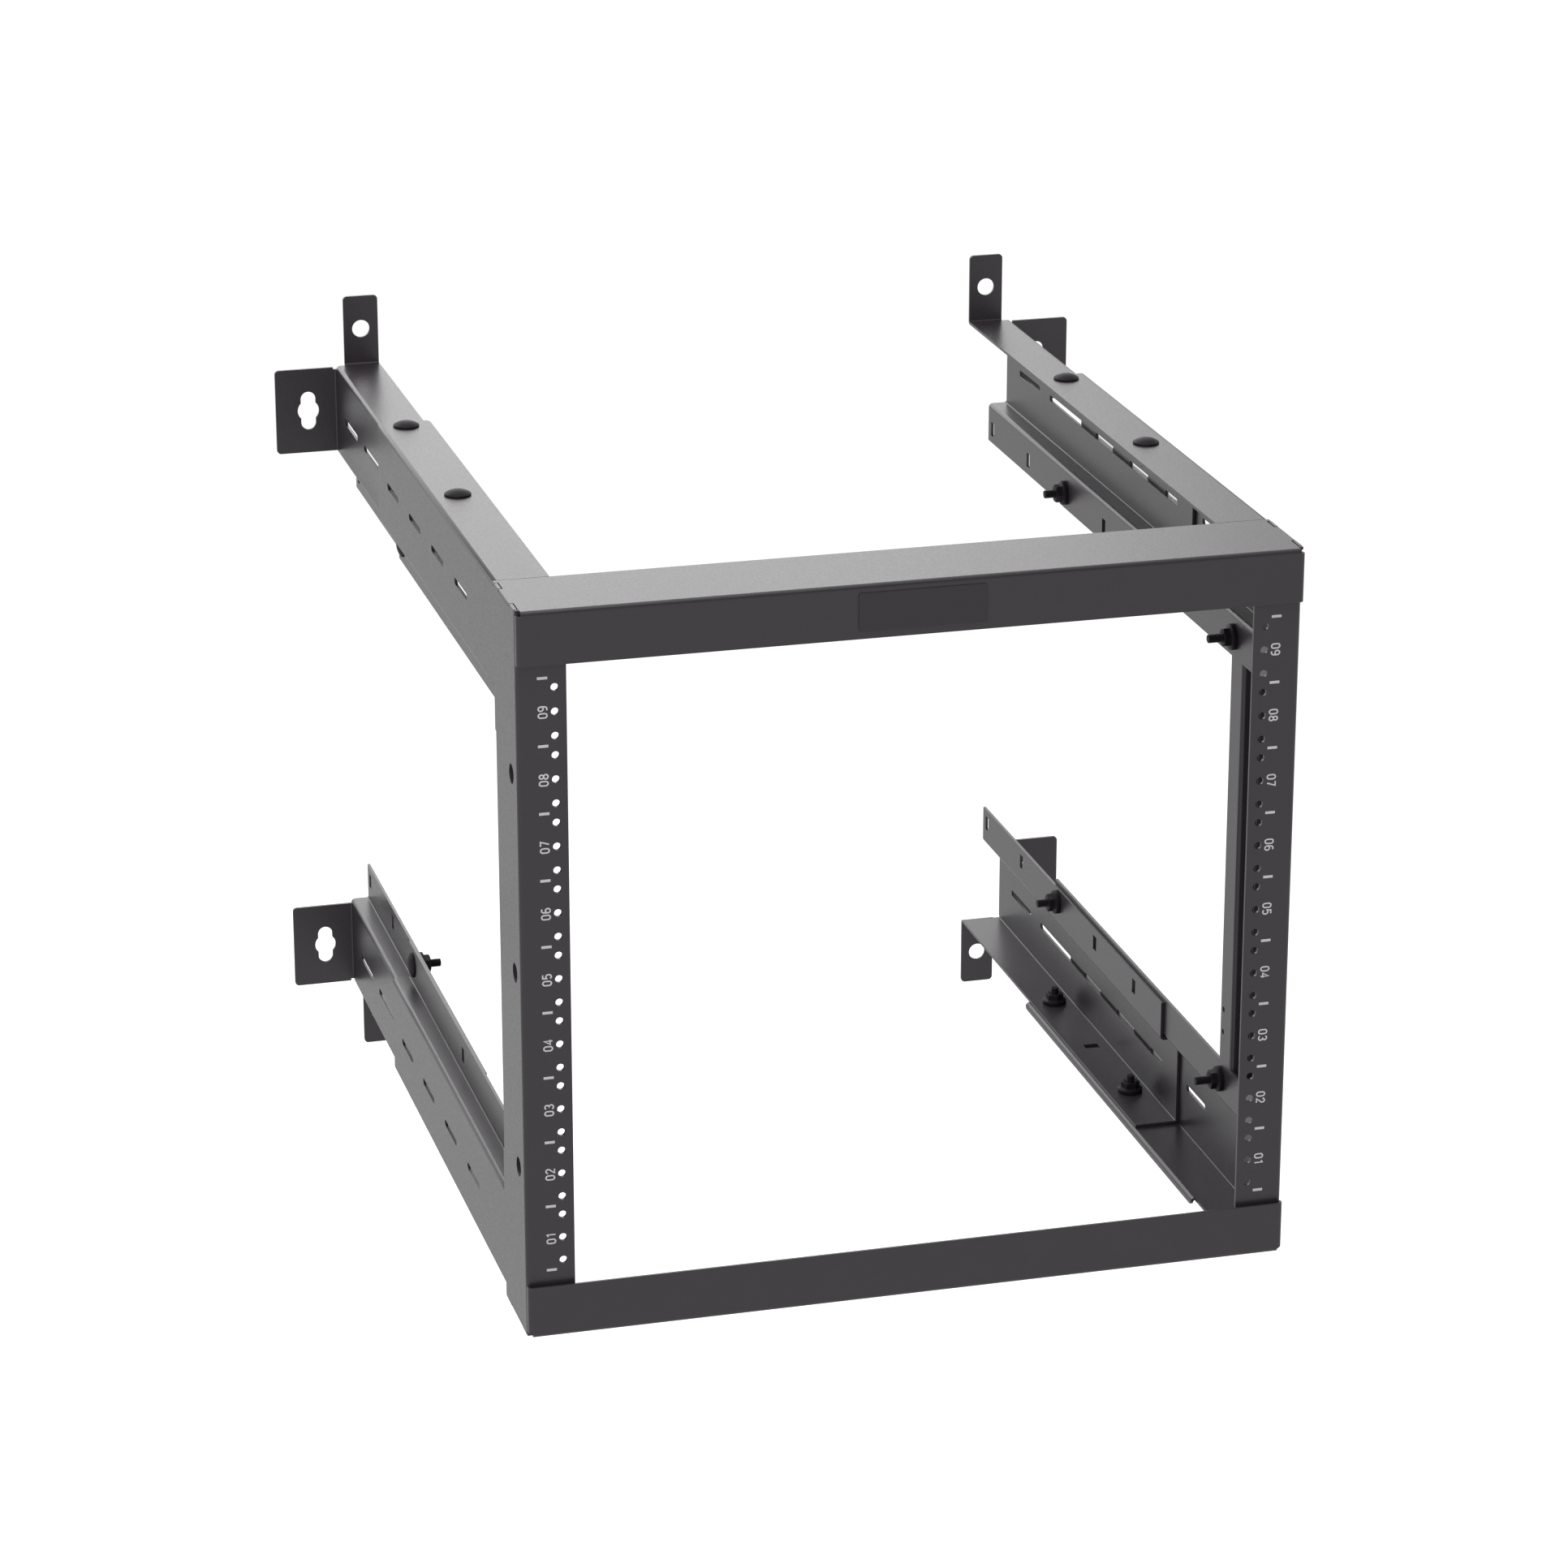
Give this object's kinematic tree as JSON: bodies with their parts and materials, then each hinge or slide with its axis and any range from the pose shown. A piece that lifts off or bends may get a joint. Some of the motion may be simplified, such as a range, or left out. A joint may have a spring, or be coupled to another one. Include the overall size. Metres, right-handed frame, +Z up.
{
  "type": "wall mount rack",
  "caption": "Open-frame wall mount rack with two equipment rails, tied by a top and a bottom bar and held off the wall by lipped channel arms bolted in pairs.",
  "frame": {"origin": "On the back face of the upper left wall tab (seen from the front), on its centre line, 15 mm below the centre of its hole. The wall plane is y = 0.", "axes": "+X to the right seen from the front, +Y into the wall, +Z up. The equipment rails face -Y."},
  "size_m": [0.5984, 0.6198, 0.5784],
  "materials": {
    "powder_coated_steel": "fine-grained satin charcoal powder coat",
    "black_fastener_steel": "black oxide on steel fasteners",
    "label": "dark satin label plate, bare"
  },
  "bodies": {
    "root": {"left_side_frame": "powder_coated_steel", "right_side_frame": "powder_coated_steel", "top_bar": "powder_coated_steel", "bottom_bar": "powder_coated_steel", "upper_left_wall_arm": "powder_coated_steel", "upper_right_wall_arm": "powder_coated_steel", "lower_left_wall_arm": "powder_coated_steel", "lower_right_wall_arm": "powder_coated_steel", "upper_left_flange_bolt_rear": "black_fastener_steel", "upper_left_flange_bolt_front": "black_fastener_steel", "upper_left_flange_nut_rear": "black_fastener_steel", "upper_left_flange_nut_front": "black_fastener_steel", "upper_left_lip_bolt_rear": "black_fastener_steel", "upper_left_lip_bolt_front": "black_fastener_steel", "upper_left_lip_nut_rear": "black_fastener_steel", "upper_left_lip_nut_front": "black_fastener_steel", "upper_right_flange_bolt_rear": "black_fastener_steel", "upper_right_flange_bolt_front": "black_fastener_steel", "upper_right_flange_nut_rear": "black_fastener_steel", "upper_right_flange_nut_front": "black_fastener_steel", "upper_right_lip_bolt_rear": "black_fastener_steel", "upper_right_lip_bolt_front": "black_fastener_steel", "upper_right_lip_nut_rear": "black_fastener_steel", "upper_right_lip_nut_front": "black_fastener_steel", "lower_left_flange_bolt_rear": "black_fastener_steel", "lower_left_flange_bolt_front": "black_fastener_steel", "lower_left_flange_nut_rear": "black_fastener_steel", "lower_left_flange_nut_front": "black_fastener_steel", "lower_left_lip_bolt_rear": "black_fastener_steel", "lower_left_lip_bolt_front": "black_fastener_steel", "lower_left_lip_nut_rear": "black_fastener_steel", "lower_left_lip_nut_front": "black_fastener_steel", "lower_right_flange_bolt_rear": "black_fastener_steel", "lower_right_flange_bolt_front": "black_fastener_steel", "lower_right_flange_nut_rear": "black_fastener_steel", "lower_right_flange_nut_front": "black_fastener_steel", "lower_right_lip_bolt_rear": "black_fastener_steel", "lower_right_lip_bolt_front": "black_fastener_steel", "lower_right_lip_nut_rear": "black_fastener_steel", "lower_right_lip_nut_front": "black_fastener_steel", "label_plate": "label"}
  },
  "joints": []
}
